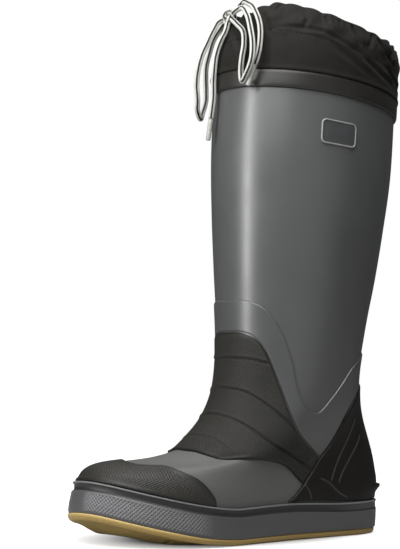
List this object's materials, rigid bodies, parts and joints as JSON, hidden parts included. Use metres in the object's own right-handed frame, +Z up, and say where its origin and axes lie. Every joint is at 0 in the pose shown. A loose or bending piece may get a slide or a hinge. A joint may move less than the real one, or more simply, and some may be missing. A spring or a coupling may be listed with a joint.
{
  "type": "sailing boot",
  "caption": "Tall left-foot rubber sailing boot with a cup sole, toe cap, ribbed instep guard, heel counter with a kick spur, and a gathered drawcord cuff.",
  "frame": {"origin": "middle of the boot's box at floor level, measured without the drawcord", "axes": "+X to the toe, +Y to the wearer's left, which is this boot's outer side, +Z up"},
  "size_m": [0.301, 0.141, 0.4505],
  "materials": {
    "grey_rubber": "satin",
    "sole_rubber": "matte",
    "gum_rubber": "matte",
    "black_rubber": "matte, textured",
    "black_nylon": "coated woven nylon",
    "insole_foam": "fabric-topped foam",
    "cord_braid": "braided polyester",
    "aglet_film": "clear film"
  },
  "bodies": {
    "root": {"upper": "grey_rubber", "ankle_panel_outer": "grey_rubber", "ankle_panel_inner": "grey_rubber", "sole_wall": "sole_rubber", "outsole": "gum_rubber", "toe_cap": "black_rubber", "instep_guard": "black_rubber", "heel_counter": "black_rubber", "kick_spur": "black_rubber", "badge": "black_rubber", "collar_band": "black_rubber", "cuff": "black_nylon", "insole": "insole_foam", "cord_knot": "cord_braid", "cord_loop_left": "cord_braid", "cord_loop_right": "cord_braid", "cord_end_left": "cord_braid", "cord_end_right": "cord_braid", "cord_aglet_left": "aglet_film", "cord_aglet_right": "aglet_film"}
  },
  "joints": []
}
